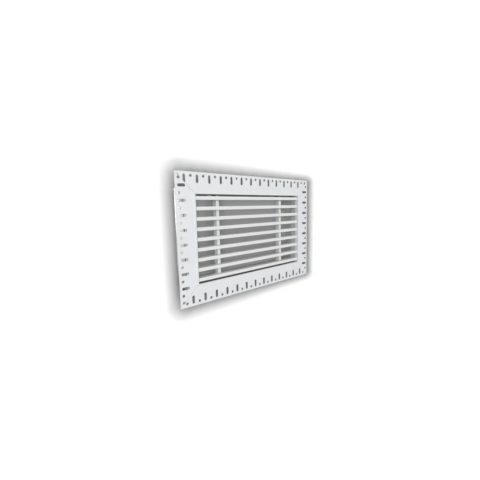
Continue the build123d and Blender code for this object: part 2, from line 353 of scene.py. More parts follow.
for lamp in lamps:
    light_only(lamp, f"{lamp.name}_spares", "EXCLUDE")
print(len(lamps), "lamps spare the sheet")

# %% [markdown]
# The sheet's own lamp is a small ring lamp in front of the grille. Its shadow is a soft rim round the
# frame and a grey between the bars. A lamp so near would leave the corners of the sheet dark, so its
# strength grows with the distance instead of falling.

# %% Light the sheet
RING_PLACE = Vector((-0.327, -0.339, 0.046))
RING_RADIUS = 0.029
RING_WATTS = 140

ring_data = bpy.data.lights.new("ring", "POINT")
ring_data.shadow_soft_size = RING_RADIUS
ring_data.energy = RING_WATTS
ring_data.use_nodes = True
nodes, links = ring_data.node_tree.nodes, ring_data.node_tree.links
falloff = nodes.new("ShaderNodeLightFalloff")
falloff.inputs["Strength"].default_value = 1.0
distance = nodes.new("ShaderNodeLightPath").outputs["Ray Length"]
strength = math_node(nodes, links, "MULTIPLY", falloff.outputs["Constant"], distance)
links.new(strength, nodes["Emission"].inputs["Strength"])
ring = new_object("ring", ring_data)
ring.location = RING_PLACE
ring.visible_camera = False
light_only(ring, "ring_lights", "INCLUDE")
print("ring lamp", round(RING_PLACE.length, 2), "m from the grille")

# %% [markdown]
# A net, which is a studio's grey gauze, hangs behind the opening. It dims what the ring lamp sends in
# between the bars, so the gaps read darker. It is seen by no camera.

# %% Hang the net
NET_BEHIND = 0.002
NET_PASSES = (0.28, 0.28, 0.28, 1)

net_place = Matrix.Translation((0, high.y + NET_BEHIND, 0)) @ Matrix.Rotation(math.radians(90), 4, "X")
net_bm = bmesh.new()
bmesh.ops.create_grid(net_bm, x_segments=1, y_segments=1, size=1,
                      matrix=net_place @ Matrix.Diagonal((HALF_W, HALF_H, 1, 1)))
net = new_object("net", as_mesh("net", net_bm))
net.visible_camera = net.visible_diffuse = net.visible_glossy = net.visible_transmission = False
gauze = bpy.data.materials.new("gauze")
gauze.use_nodes = True
nodes, links = gauze.node_tree.nodes, gauze.node_tree.links
nodes.clear()
through = nodes.new("ShaderNodeBsdfTransparent")
through.inputs["Color"].default_value = NET_PASSES
links.new(through.outputs["BSDF"], nodes.new("ShaderNodeOutputMaterial").inputs["Surface"])
net.data.materials.append(gauze)
print("the net lets", NET_PASSES[0], "of the light through")

# %% [markdown]
# The world beyond the sheet is white to the eye, but lights the grille only weakly, and a hair cooler
# than white. The colours are shown as they are, with no film look laid over them.

# %% Light the world
WORLD_LIGHT = 0.17
WORLD_SEEN = 1.0
WORLD_COLOUR = (0.95, 0.97, 1.0, 1)

world = bpy.data.worlds.new("pale_world")
world.use_nodes = True
nodes, links = world.node_tree.nodes, world.node_tree.links
background = nodes["Background"]
background.inputs["Color"].default_value = WORLD_COLOUR
seen = nodes.new("ShaderNodeLightPath").outputs["Is Camera Ray"]
brightness = math_node(nodes, links, "MULTIPLY_ADD", seen, WORLD_SEEN - WORLD_LIGHT, WORLD_LIGHT)
links.new(brightness, background.inputs["Strength"])
bpy.context.scene.world = world
bpy.context.scene.view_settings.view_transform = "Standard"
bpy.context.scene.view_settings.look = "None"
print("world", WORLD_LIGHT, "as light,", WORLD_SEEN, "as seen")

# %% [markdown]
# ## Finishes
#
# White powder coat is a thick paint, baked on. Close up it is faintly pebbled, like orange peel, with
# ripples about a millimetre across and a hundredth of a millimetre high, and its gloss is uneven in the
# same places. The bump carries the ripple and a second, finer one; the roughness follows a third noise.
# Colour hardly changes over a part, so a very broad noise only warms and cools it by a hair.

# %% Powder coat
def powder_coat(name, colour, ripple=1.0, roughness=0.42):
    material, nodes, links, shader = new_material(name)
    place = object_coordinates(nodes)
    cooler = tuple(c * f for c, f in zip(colour, (0.965, 0.975, 0.985)))
    cloud = ramp(nodes, links, noise(nodes, links, place, 28, detail=3), 0, 1)
    links.new(blend_colours(nodes, links, cloud, colour, cooler), shader.inputs["Base Color"])
    patches = noise(nodes, links, place, 900, detail=3)
    links.new(ramp(nodes, links, patches, roughness - 0.05, roughness + 0.07), shader.inputs["Roughness"])
    peel = noise(nodes, links, place, 1100, detail=1)
    under = add_bump(nodes, links, shader, peel, 0.030 * MM * ripple)
    grain = noise(nodes, links, place, 5200, detail=2)
    add_bump(nodes, links, shader, grain, 0.006 * MM * ripple, below=under)
    shader.inputs["Coat Weight"].default_value = 0.12
    shader.inputs["Coat Roughness"].default_value = 0.35
    return material


# %% [markdown]
# Shade falls deep in the narrow gap behind the rim, so the long inner faces of the frame, which lie close
# above the first bar and close under the last, are given a dark grey there as painted shade. They are
# found by height alone: nothing else of the frame lies at half the opening's height. The coat fades to
# the painted shade over two millimetres.

# %% Paint shade on the frame behind the rim
# painted shade: the dark grey laid on the frame's inner walls behind the rim, where shade falls
PAINTED_SHADE_START, PAINTED_SHADE_END = -1.4 * MM, 0.6 * MM
PAINTED_SHADE_GREY = (0.16, 0.16, 0.16)


def behind_rim(nodes, links, start, end):
    """1 on the opening's upper and lower wall, from a depth of end onwards, and 0 elsewhere."""
    parts = nodes.new("ShaderNodeSeparateXYZ")
    links.new(object_coordinates(nodes), parts.inputs["Vector"])
    across = math_node(nodes, links, "ABSOLUTE", parts.outputs["X"])
    upright = math_node(nodes, links, "ABSOLUTE", parts.outputs["Z"])
    wall = math_node(nodes, links, "COMPARE", upright, HALF_H, 0.2 * MM)
    inside = math_node(nodes, links, "MULTIPLY", wall,
                       math_node(nodes, links, "LESS_THAN", across, HALF_W + 0.05 * MM))
    return math_node(nodes, links, "MULTIPLY", inside,
                     spread_out(nodes, links, parts.outputs["Y"], (start, end), 0, 1, "SMOOTHSTEP"))


frame_coat = powder_coat("frame_coat", (0.800, 0.812, 0.815))
nodes, links = frame_coat.node_tree.nodes, frame_coat.node_tree.links
shader = nodes["Principled BSDF"]
full_coat = shader.inputs["Base Color"].links[0].from_socket
# the frame's coat is blended to the painted shade on the walls behind the rim
painted_shade = behind_rim(nodes, links, PAINTED_SHADE_START, PAINTED_SHADE_END)
shaded_coat = blend_colours(nodes, links, painted_shade, (0, 0, 0), PAINTED_SHADE_GREY)
links.new(full_coat, shaded_coat.node.inputs["A"])
links.new(shaded_coat, shader.inputs["Base Color"])
bar_coat = powder_coat("bar_coat", (0.815, 0.812, 0.800))
# the mullions get the white coat made darker and cooler: painted shade, for uprights that sit back behind
# the bars
mullion_coat = powder_coat("mullion_coat", (0.715, 0.735, 0.740))
# the end plates get the white coat made much darker and bluer: painted shade, for plates deep in the
# opening
end_plate_coat = powder_coat("end_plate_coat", (0.500, 0.530, 0.540), ripple=1.3, roughness=0.5)
print("powder coats:", [coat.name for coat in (frame_coat, bar_coat, mullion_coat, end_plate_coat)])

# %% [markdown]
# The collar is bare extruded aluminium. The die leaves hair-fine lines along the length, so one noise is
# stretched a hundredfold that way. It tints the metal, roughens it and gives it a slight ridge. A second
# broad noise is the dull bloom that bare aluminium gets. Members run level or upright, and their lines
# with them, so the function takes the way they run.

# %% Bare aluminium
ALONG_X = (0.01, 1, 1)
ALONG_Z = (1, 1, 0.01)
EVEN = (1, 1, 1)


def bare_metal(name, colour, run, roughness=0.38, line_depth=0.012 * MM, line_scale=2600, bloom=0.78):
    material, nodes, links, shader = new_material(name)
    place = object_coordinates(nodes)
    lines = noise(nodes, links, place, line_scale, detail=3, stretch=run)
    bloomed = noise(nodes, links, place, 60, detail=4)
    dull = tuple(c * bloom for c in colour)
    links.new(blend_colours(nodes, links, ramp(nodes, links, bloomed, 0, 1), colour, dull),
              shader.inputs["Base Color"])
    links.new(ramp(nodes, links, lines, roughness - 0.08, roughness + 0.12), shader.inputs["Roughness"])
    add_bump(nodes, links, shader, lines, line_depth)
    shader.inputs["Metallic"].default_value = 1.0
    return material


collar_level = bare_metal("collar_mill_level", (0.60, 0.60, 0.575), ALONG_X)
collar_upright = bare_metal("collar_mill_upright", (0.60, 0.60, 0.575), ALONG_Z)
lug_mill = bare_metal("lug_mill", (0.66, 0.66, 0.65), ALONG_X, roughness=0.34)
zinc_plate = bare_metal("zinc_plate", (0.70, 0.71, 0.73), EVEN, roughness=0.26, line_depth=0.004 * MM,
                        bloom=0.9)
rivet_metal = bare_metal("rivet_metal", (0.72, 0.72, 0.72), EVEN, roughness=0.3, line_depth=0.005 * MM,
                         bloom=0.9)
spring_steel = bare_metal("spring_steel", (0.36, 0.35, 0.36), ALONG_Z, roughness=0.3, bloom=0.7)
print("the lines on the metal are", round(ALONG_X[1] / ALONG_X[0]), "times as long as wide")

# %% [markdown]
# The cleats are die-cast, so their skin is grainy rather than lined, with shallow dimples. The gasket is
# closed-cell foam: matt black with open pores where it was slit. Small cells come from a Voronoi pattern,
# whose distance from each cell's middle is a row of pits once it is turned into bump. The walls of the
# punched holes are cut after the coat is on, so they are bare: a dull metal, rough from the punch.

# %% Cast metal and foam
def cast_metal(name, colour):
    material, nodes, links, shader = new_material(name)
    place = object_coordinates(nodes)
    grain = noise(nodes, links, place, 1500, detail=5)
    darker = tuple(c * 0.72 for c in colour)
    links.new(blend_colours(nodes, links, ramp(nodes, links, grain, 0, 1), colour, darker),
              shader.inputs["Base Color"])
    links.new(ramp(nodes, links, grain, 0.48, 0.66), shader.inputs["Roughness"])
    add_bump(nodes, links, shader, grain, 0.04 * MM)
    shader.inputs["Metallic"].default_value = 1.0
    return material


def foam(name, colour):
    material, nodes, links, shader = new_material(name)
    place = object_coordinates(nodes)
    cells = nodes.new("ShaderNodeTexVoronoi")
    cells.inputs["Scale"].default_value = 1400
    links.new(place, cells.inputs["Vector"])
    lighter = tuple(c * 2.2 for c in colour)
    links.new(blend_colours(nodes, links, cells.outputs["Distance"], colour, lighter),
              shader.inputs["Base Color"])
    add_bump(nodes, links, shader, cells.outputs["Distance"], 0.12 * MM)
    shader.inputs["Roughness"].default_value = 0.92
    shader.inputs["Specular IOR Level"].default_value = 0.25
    return material


cut_edge = bare_metal("cut_edge", (0.42, 0.42, 0.41), EVEN, roughness=0.5, bloom=0.8)
cleat_cast = cast_metal("cleat_cast", (0.56, 0.56, 0.56))
gasket_foam = foam("gasket_foam", (0.018, 0.018, 0.019))
print("finishes:", sorted(m.name for m in bpy.data.materials))

# %% [markdown]
# ## Working methods
#
# Pieces are drawn as bmesh geometry and handed over as finished objects at the origin, with their place
# in the mesh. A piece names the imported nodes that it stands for, the body it moves with and its finish.
#
# Cutting holes is a Boolean with a tool-shaped mesh, applied at once. The soft edges are a Bevel modifier
# left on the piece: it finds each edge sharper than 35 degrees, so hole rims and mitres get it too, and
# with hardened normals the wide faces stay dead flat.

# %% Helpers for pieces
SHARP = math.radians(35)
HAIR = 0.05 * MM            # the play of a rivet in its hole
PAST_END = 10 * MM          # cutting tools run this far past what they cut


def apply_modifiers(piece):
    evaluated = piece.evaluated_get(bpy.context.evaluated_depsgraph_get())
    finished = bpy.data.meshes.new_from_object(evaluated)
    piece.modifiers.clear()
    old = piece.data
    piece.data = finished
    bpy.data.meshes.remove(old)
    finished.name = piece.name


def cut_away(piece, tool):
    """Takes a tool-shaped bmesh out of a piece."""
    cutter = mesh_object("cutter", tool)
    step = piece.modifiers.new("cut", "BOOLEAN")
    step.operation = "DIFFERENCE"
    step.solver = "EXACT"
    step.object = cutter
    apply_modifiers(piece)
    bpy.data.meshes.remove(cutter.data)


def finish_piece(piece, body, nodes, material, soft_edge=0.15 * MM, rounds=2, cut_faces=None):
    """Gives a piece its finish, soft edges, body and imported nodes. cut_faces picks the bare metal."""
    piece.data.materials.clear()
    piece.data.materials.append(material)
    if cut_faces is not None:
        piece.data.materials.append(cut_edge)
    for face in piece.data.polygons:
        face.use_smooth = True
        face.material_index = 0 if cut_faces is None or not cut_faces(face) else 1
    if soft_edge:
        edge = piece.modifiers.new("soft_edges", "BEVEL")
        edge.width = soft_edge
        edge.segments = rounds
        edge.limit_method = "ANGLE"
        edge.angle_limit = SHARP
        edge.harden_normals = True
        edge.use_clamp_overlap = True
    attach(piece, body)
    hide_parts(*nodes)
    return piece


def block(bm, x, y, z):
    """A box from (low, high) pairs."""
    made = bmesh.ops.create_cube(bm, size=1)
    sizes = [pair[1] - pair[0] for pair in (x, y, z)]
    middle = [(pair[1] + pair[0]) / 2 for pair in (x, y, z)]
    bmesh.ops.scale(bm, verts=made["verts"], vec=sizes)
    bmesh.ops.translate(bm, verts=made["verts"], vec=middle)
    return made["verts"]


def disc_rod(bm, start, direction, length, radius, far_radius=None, segments=28):
    """A rod or a cone from its start, along a direction."""
    far_radius = radius if far_radius is None else far_radius
    made = bmesh.ops.create_cone(bm, cap_ends=True, segments=segments, radius1=radius, radius2=far_radius,
                                 depth=length)
    way = Vector(direction).normalized()
    turn = way.to_track_quat("Z", "Y").to_matrix().to_4x4()
    place = Matrix.Translation(Vector(start) + way * length / 2) @ turn
    bmesh.ops.transform(bm, verts=made["verts"], matrix=place)
    return made["verts"]


def turned(bm, profile, start, direction, segments=28):
    """A lathe: (radius, height) points spun about their axis, which is then set along a direction."""
    verts = [bm.verts.new((radius, 0, height)) for radius, height in profile]
    edges = [bm.edges.new(pair) for pair in zip(verts, verts[1:])]
    before = set(bm.verts) - set(verts)
    bmesh.ops.spin(bm, geom=verts + edges, axis=(0, 0, 1), cent=(0, 0, 0), angle=2 * math.pi,
                   steps=segments, use_merge=True)
    fresh = [v for v in bm.verts if v not in before]
    bmesh.ops.remove_doubles(bm, verts=fresh, dist=0.002 * MM)
    fresh = [v for v in bm.verts if v not in before]
    turn = Vector(direction).to_track_quat("Z", "Y").to_matrix().to_4x4()
    bmesh.ops.transform(bm, verts=fresh, matrix=Matrix.Translation(start) @ turn)
    return fresh


def copies(piece_mesh, places):
    """One bmesh that holds a mesh once for each placing matrix."""
    bm = bmesh.new()
    for place in places:
        before = set(bm.verts)
        bm.from_mesh(piece_mesh)
        bmesh.ops.transform(bm, verts=[v for v in bm.verts if v not in before], matrix=place)
    return bm


def side_place(side):
    """Turns the top side's geometry to another side and lifts it to the edge of the opening."""
    rise = HALF_H if side in ("top", "bottom") else HALF_W
    return Matrix.Rotation(math.radians(SIDES[side]), 4, "Y") @ Matrix.Translation((0, 0, rise))


def half_span(side):
    return HALF_W if side in ("top", "bottom") else HALF_H


def box_between(corner, far_corner):
    bm = bmesh.new()
    block(bm, *[(corner[i], far_corner[i]) for i in range(3)])
    return bm


print("edges sharper than", round(math.degrees(SHARP)), "degrees are softened")

# %% [markdown]
# ### A mitred run of a profile
#
# All three frames, the punched one, the foam and the collar, are four runs of one section joined at the
# corners. A run starts as a face drawn in the plane across it. Chosen corners are rounded while they are
# still only corners, which is easier than rounding long edges later. Then the face is extruded along X
# and each end is sliced off at 45 degrees by a plane, and the cut is closed.

# %% Draw, round, extrude and mitre
MITRE_GAP = 0.14 * MM       # how much shorter a run is at each end


def mitred_run(side, outline, reach, rounded, radius):
    """The run for the top side, from (depth, outwards) points. rounded names the corners to round."""
    bm = bmesh.new()
    half = half_span(side)
    spare = reach + PAST_END
    corners = [bm.verts.new((-half - spare, depth, outwards)) for depth, outwards in outline]
    bm.faces.new(corners)
    if rounded:
        round_off(bm, [corners[i] for i in rounded], radius, 4, "VERTICES")
    drag_end(bm, bmesh.ops.extrude_face_region(bm, geom=bm.faces[:]), (2 * (half + spare), 0, 0))
    for hand in (-1, 1):
        cut = bmesh.ops.bisect_plane(bm, geom=bm.verts[:] + bm.edges[:] + bm.faces[:], dist=0.0001 * MM,
                                     plane_co=(hand * (half - MITRE_GAP), 0, 0), plane_no=(hand, 0, -1),
                                     clear_outer=True)
        rim = [e for e in cut["geom_cut"] if isinstance(e, bmesh.types.BMEdge)]
        bmesh.ops.edgeloop_fill(bm, edges=rim)
    return bm


print("mitres are", round(math.sqrt(2) * MITRE_GAP / MM, 1), "mm open")

# %% [markdown]
# ## The plaster-in frame
#
# The flange is thin, with a raised rim round the opening that the plaster is struck off against, and the
# neck behind it is a hollow box. It is punched along its outer edge like plasterer's bead: a small hole
# and a slot in every 25 mm, so that filler keys through it. The lengths are cut from long punched stock,
# so the pattern meets each mitre where it happens to, and some holes at the corners are cut in two.
#
# Where the first hole of each side falls is read from the record, which names the end holes as mounts.

# %% Read the punching from the record
PITCH = 25 * MM
SLOT_LENGTH = 14.6 * MM
SLOT_EDGE = 11.4 * MM
NECK_WALL = 1.2 * MM
LIP_WIDTH = 2.5 * MM
mounts = {mount["name"]: mount for mount in frame["record"]["mounts"]}
PUNCH_RADIUS = mounts["flange_holes_top"]["dims"]["hole_r_mm"] * MM


def first_hole(side):
    """Where the first stated hole of a side lies: along it, in the top side's sense, and outwards."""
    mount = mounts[f"flange_holes_{side}"]
    dims = mount["dims"]
    spread = dims.get("spacing_x_mm", dims.get("spacing_y_mm")) * MM
    in_top_sense = side_place(side).inverted() @ Vector(mount["pos_m"])
    return in_top_sense.x - spread / 2, in_top_sense.z


for side in SIDES:
    print(side, "first hole at", [round(v / MM, 1) for v in first_hole(side)])

# %% [markdown]
# A slot is the hull of two discs, so the tool for it is two rods and the convex hull operator. The tool
# for a whole side is that slot and a rod, set down again and again past both ends.

# %% Make the punching tool
PUNCH_START = -5 * MM       # the punch reaches well past the thin flange on both sides
PUNCH_DEPTH = 10 * MM


def slot_tool():
    bm = bmesh.new()
    for shift in (-1, 1):
        start = (0, PUNCH_START, shift * (SLOT_LENGTH / 2 - PUNCH_RADIUS))
        disc_rod(bm, start, (0, 1, 0), PUNCH_DEPTH, PUNCH_RADIUS)
    hull = bmesh.ops.convex_hull(bm, input=bm.verts)
    inside = [g for g in hull["geom_interior"] if isinstance(g, bmesh.types.BMVert)]
    bmesh.ops.delete(bm, geom=inside, context="VERTS")
    outside = set(hull["geom"])
    stray = [f for f in bm.faces if f not in outside]
    bmesh.ops.delete(bm, geom=stray, context="FACES_ONLY")
    bmesh.ops.dissolve_limit(bm, angle_limit=math.radians(1), verts=bm.verts, edges=bm.edges)
    return as_mesh("slot_tool", bm)


slot_mesh = slot_tool()


def punching(side):
    """The tools for every hole and slot of a side."""
    along, outwards = first_hole(side)
    while along > -half_span(side) - FLANGE_WIDTH:
        along -= PITCH
    bm = bmesh.new()
    places = []
    while along < half_span(side) + FLANGE_WIDTH:
        disc_rod(bm, (along, PUNCH_START, outwards), (0, 1, 0), PUNCH_DEPTH, PUNCH_RADIUS)
        places.append(Matrix.Translation((along + PITCH / 2, 0, FLANGE_WIDTH - SLOT_EDGE)))
        along += PITCH
    held = as_mesh("slots", copies(slot_mesh, places))
    bm.from_mesh(held)
    bpy.data.meshes.remove(held)
    return bm


print("slots", round(SLOT_LENGTH / MM, 1), "by", round(2 * PUNCH_RADIUS / MM, 1), "mm")

# %% [markdown]
# Each member is a mitred run, punched through its flange, hollowed out behind, and drilled in the back
# wall of its neck for the collar's screws. The walls of the punched holes are found by where they lie
# and the way they face, and get the bare metal.

# %% Make the four members
FRAME_OUTLINE = [
    (LIP_FRONT, 0),
    (LIP_FRONT, LIP_WIDTH),
    (FLANGE_FRONT, LIP_WIDTH),
    (FLANGE_FRONT, FLANGE_WIDTH),
    (0, FLANGE_WIDTH),
    (0, NECK_WIDTH),
    (NECK_BACK, NECK_WIDTH),
    (NECK_BACK, 0),
]
LIP_CORNERS = (0, 1)
SOFT_CORNER = 0.6 * MM
SCREWS_ALONG = {"level": (-95 * MM, 0, 95 * MM), "upright": (-45 * MM, 45 * MM)}
NECK_MIDDLE = NECK_WIDTH / 2
PILOT_RADIUS = 1.95 * MM


def in_a_hole(face):
    """Whether a face of a member is the wall of a punched hole, in the thickness of the flange."""
    across, upright = abs(face.center.x), abs(face.center.z)
    outside_neck = max(across - HALF_W, upright - HALF_H) > NECK_WIDTH + MM
    inside_rim = across < high.x - 0.5 * MM and upright < high.z - 0.5 * MM
    mitred = abs((across - HALF_W) - (upright - HALF_H)) < 2 * MITRE_GAP
    return abs(face.normal.y) < 0.3 and outside_neck and inside_rim and not mitred


def screws_along(side):
    return SCREWS_ALONG["level" if side in ("top", "bottom") else "upright"]


for side in SIDES:
    member = mesh_object(f"punched_frame_{side}",
                         mitred_run(side, FRAME_OUTLINE, FLANGE_WIDTH, LIP_CORNERS, SOFT_CORNER))
    cut_away(member, punching(side))
    hollow = bmesh.new()
    reach = half_span(side) + FLANGE_WIDTH + PAST_END
    block(hollow, (-reach, reach), (0, NECK_BACK - NECK_WALL), (NECK_WALL, NECK_WIDTH - NECK_WALL))
    cut_away(member, hollow)
    pilots = bmesh.new()
    for along in screws_along(side):
        disc_rod(pilots, (along, NECK_BACK - 2 * NECK_WALL, NECK_MIDDLE), (0, 1, 0), 4 * NECK_WALL,
                 PILOT_RADIUS)
    cut_away(member, pilots)
    member.data.transform(side_place(side))
    finish_piece(member, "frame", [f"frame_{side}"], frame_coat, cut_faces=in_a_hole)
    print(member.name, len(member.data.polygons), "faces before its soft edges")

# %% [markdown]
# ## Foam and collar
#
# The foam strip is squeezed between the neck and the collar, so its free sides bulge a little. Its
# corners are rounded as the section is drawn, and that is the bulge.

# %% Make the foam strips
foam_in = gasket_low.x - HALF_W
foam_out = gasket_high.x - HALF_W
FOAM_BULGE = 0.5 * MM
FOAM_CORNER = 1.2 * MM
FOAM_OUTLINE = [
    (NECK_BACK, foam_in - FOAM_BULGE),
    (COLLAR_FRONT, foam_in - FOAM_BULGE),
    (COLLAR_FRONT, foam_out + FOAM_BULGE),
    (NECK_BACK, foam_out + FOAM_BULGE),
]
for side in SIDES:
    strip = mesh_object(f"foam_strip_{side}",
                        mitred_run(side, FOAM_OUTLINE, NECK_WIDTH, (0, 1, 2, 3), FOAM_CORNER))
    strip.data.transform(side_place(side))
    finish_piece(strip, "frame", [f"gasket_{side}"], gasket_foam, soft_edge=0)
print("foam", round((COLLAR_FRONT - NECK_BACK) / MM, 2), "mm thick")

# %% [markdown]
# The collar is a box section with two low ribs and a groove on the air side. From behind, a wide hole
# opposite each screw lets a screwdriver in, so it has to be truly hollow: the chamber is cut out before
# the holes that open into it.

# %% Make the collar members
RIB_HEIGHT = 0.4 * MM
RIBS = ((39.2 * MM, 40.0 * MM), (45.6 * MM, 47.6 * MM))
GROOVE = (41.4 * MM, 42.8 * MM)
GROOVE_DEPTH = 0.6 * MM
LUG_X = 87 * MM
LUG_RIVET_Y = 28 * MM
COLLAR_OUTLINE = [(COLLAR_FRONT, NECK_WIDTH), (COLLAR_BACK, NECK_WIDTH), (COLLAR_BACK, 0)]
for (near, far), outwards in ((RIBS[1], -RIB_HEIGHT), (GROOVE, GROOVE_DEPTH), (RIBS[0], -RIB_HEIGHT)):
    COLLAR_OUTLINE += [(far, 0), (far, outwards), (near, outwards), (near, 0)]
COLLAR_OUTLINE.append((COLLAR_FRONT, 0))
OUTER_CORNERS = (0, 1)
SCREW_HOLE_RADIUS = 2.1 * MM
ACCESS_RADIUS = 4.5 * MM
LUG_HOLE_RADIUS = 1.65 * MM

for side in SIDES:
    member = mesh_object(f"collar_member_{side}",
                         mitred_run(side, COLLAR_OUTLINE, NECK_WIDTH, OUTER_CORNERS, SOFT_CORNER))
    chamber = bmesh.new()
    reach = half_span(side) + NECK_WIDTH + PAST_END
    block(chamber, (-reach, reach), (COLLAR_FRONT + NECK_WALL, COLLAR_BACK - NECK_WALL),
          (NECK_WALL, NECK_WIDTH - NECK_WALL))
    cut_away(member, chamber)
    holes = bmesh.new()
    for along in screws_along(side):
        disc_rod(holes, (along, COLLAR_FRONT - NECK_WALL, NECK_MIDDLE), (0, 1, 0), 3 * NECK_WALL,
                 SCREW_HOLE_RADIUS)
        disc_rod(holes, (along, COLLAR_BACK - 2 * NECK_WALL, NECK_MIDDLE), (0, 1, 0), 4 * NECK_WALL,
                 ACCESS_RADIUS, segments=40)
    if side in ("top", "bottom"):
        for x in (-LUG_X, LUG_X):
            disc_rod(holes, (x, LUG_RIVET_Y, -NECK_WALL), (0, 0, 1), 3 * NECK_WALL, LUG_HOLE_RADIUS)
    cut_away(member, holes)
    member.data.transform(side_place(side))
    metal = collar_level if side in ("top", "bottom") else collar_upright
    finish_piece(member, "frame", [f"collar_{side}"], metal)
    print(member.name, len(member.data.polygons), "faces")

# %% [markdown]
# ## Screws, lugs and rivets
#
# The collar screws sit in the chambers and are seen only through their access holes, so the head gets
# the care: a shallow dome on a lathe, with a cross cut into it by two thin blocks. The thread is a zigzag
# in the same turned profile, rings rather than a true helix, which nobody can tell at this size.

# %% Make one collar screw and set it ten times
HEAD_RADIUS = 3.8 * MM
HEAD_HEIGHT = 2.4 * MM
SCREW_RADIUS = 1.9 * MM
SCREW_LENGTH = 9.9 * MM
THREAD_PITCH = 1.2 * MM
THREAD_ROOT = 0.76 * SCREW_RADIUS
HEAD_RIM = 0.35             # the part of the head's height that stands straight
TURN_TO_TURN = 0.7          # no two crosses end up at the same angle
CROSS_WIDTH = 0.9 * MM
CROSS_LENGTH = 3.6 * MM


def screw_profile():
    """From the tip of the screw, at its lowest, to the top of the head."""
    points = [(0, -SCREW_LENGTH - SCREW_RADIUS)]
    turns = int(SCREW_LENGTH / THREAD_PITCH)
    for turn in range(turns):
        root = -SCREW_LENGTH + turn * THREAD_PITCH
        points += [(THREAD_ROOT, root), (SCREW_RADIUS, root + THREAD_PITCH / 2)]
    points += [(THREAD_ROOT, -SCREW_LENGTH + turns * THREAD_PITCH), (SCREW_RADIUS, 0), (HEAD_RADIUS, 0)]
    points += [(HEAD_RADIUS, HEAD_HEIGHT * HEAD_RIM)]
    for step in range(1, 6):
        angle = math.radians(90) * step / 6
        rise = HEAD_RIM + (1 - HEAD_RIM) * math.sin(angle)
        points.append((HEAD_RADIUS * math.cos(angle), HEAD_HEIGHT * rise))
    points.append((0, HEAD_HEIGHT))
    return points


screw_bm = bmesh.new()
turned(screw_bm, screw_profile(), (0, 0, 0), (0, 0, 1), segments=24)
screw = mesh_object("one_screw", screw_bm)
long_way = (-CROSS_LENGTH / 2, CROSS_LENGTH / 2)
thin_way = (-CROSS_WIDTH / 2, CROSS_WIDTH / 2)
for across, along in ((long_way, thin_way), (thin_way, long_way)):
    cross = bmesh.new()
    block(cross, across, along, (HEAD_HEIGHT * 0.4, HEAD_HEIGHT * 2))
    cut_away(screw, cross)
seat = COLLAR_FRONT + NECK_WALL
screw_places = []
for side in SIDES:
    for number, along in enumerate(screws_along(side)):
        turn = Matrix.Rotation(TURN_TO_TURN * number + SIDES[side], 4, "Z")
        place = side_place(side) @ Matrix.Translation((along, seat, NECK_MIDDLE))
        screw_places.append(place @ Matrix.Rotation(math.radians(-90), 4, "X") @ turn)
screws = mesh_object("cross_head_screws", copies(screw.data, screw_places))
bpy.data.objects.remove(screw)
finish_piece(screws, "frame", ["collar_screws"], zinc_plate, soft_edge=0.06 * MM, rounds=1)
print(len(screw_places), "collar screws")

# %% [markdown]
# A lug is a short strip bent to a right angle. It is drawn as an L with its outer and inner corner both
# rounded, because sheet never folds to a sharp corner. The rivet that holds it is a blind rivet: a low
# dome with the broken end of its pin sunk in the middle.

# %% Make the lugs and their rivets
LUG_THICK = 1.2 * MM
RIVET_RADIUS = 1.6 * MM
RIVET_HEAD = 3.2 * MM
RIVET_HEIGHT = 1.0 * MM
RIVET_LENGTH = 3.4 * MM
DOME_FLAT = 0.35            # the part of the head's radius that is flat
PIN_END_RADIUS = 0.9 * MM
FOLD_RADIUS = 1.3 * MM
FOLD_INSIDE = 0.4 * MM
LUG_CORNER = 2.0 * MM
rivet_places = []
for level in ("top", "bottom"):
    for hand in ("left", "right"):
        node = f"stop_lug_{level}_{hand}"
        lug_low, lug_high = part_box(node)
        width = lug_high.x - lug_low.x
        drop = lug_high.z - lug_low.z
        middle_x = (lug_low.x + lug_high.x) / 2
        outline = [
            (lug_low.y, -drop),
            (lug_low.y + LUG_THICK, -drop),
            (lug_low.y + LUG_THICK, -LUG_THICK),
            (lug_high.y, -LUG_THICK),
            (lug_high.y, 0),
            (lug_low.y, 0),
        ]
        bm = bmesh.new()
        corners = [bm.verts.new((-width / 2, y, z)) for y, z in outline]
        bm.faces.new(corners)
        round_off(bm, [corners[5]], FOLD_RADIUS, 5, "VERTICES")
        round_off(bm, [corners[2]], FOLD_INSIDE, 3, "VERTICES")
        pulled = bmesh.ops.extrude_face_region(bm, geom=bm.faces[:], use_keep_orig=True)
        drag_end(bm, pulled, (width, 0, 0))
        back_edges = [e for e in bm.edges if runs_along(e, "z") and e.verts[0].co.y > lug_high.y - TINY]
        round_off(bm, back_edges, LUG_CORNER, 5)
        lug = mesh_object(f"bent_{node}", bm)
        hole = bmesh.new()
        disc_rod(hole, (0, LUG_RIVET_Y, -3 * LUG_THICK), (0, 0, 1), 6 * LUG_THICK, RIVET_RADIUS + HAIR)
        cut_away(lug, hole)
        sense = 1 if level == "top" else -1
        place = side_place(level) @ Matrix.Translation((sense * middle_x, 0, 0))
        lug.data.transform(place)
        finish_piece(lug, "frame", [node], lug_mill, soft_edge=0.12 * MM)
        rivet_places.append(place @ Matrix.Translation((0, LUG_RIVET_Y, -LUG_THICK)))

rivet_profile = [(0, RIVET_LENGTH), (RIVET_RADIUS, RIVET_LENGTH), (RIVET_RADIUS, 0), (RIVET_HEAD, 0)]
for step in range(1, 5):
    angle = math.radians(90) * step / 5
    reach = DOME_FLAT + (1 - DOME_FLAT) * math.cos(angle)
    rivet_profile.append((RIVET_HEAD * reach, -RIVET_HEIGHT * math.sin(angle)))
rivet_profile += [(PIN_END_RADIUS, -RIVET_HEIGHT), (PIN_END_RADIUS, -0.45 * RIVET_HEIGHT),
                  (0, -0.5 * RIVET_HEIGHT)]
rivet_bm = bmesh.new()
turned(rivet_bm, rivet_profile, (0, 0, 0), (0, 0, 1), segments=28)
rivet = mesh_object("one_rivet", rivet_bm)
rivets = mesh_object("blind_rivets", copies(rivet.data, rivet_places))
bpy.data.objects.remove(rivet)
finish_piece(rivets, "frame", ["lug_rivets"], rivet_metal, soft_edge=0.05 * MM, rounds=1)
print(len(rivet_places), "lugs riveted")

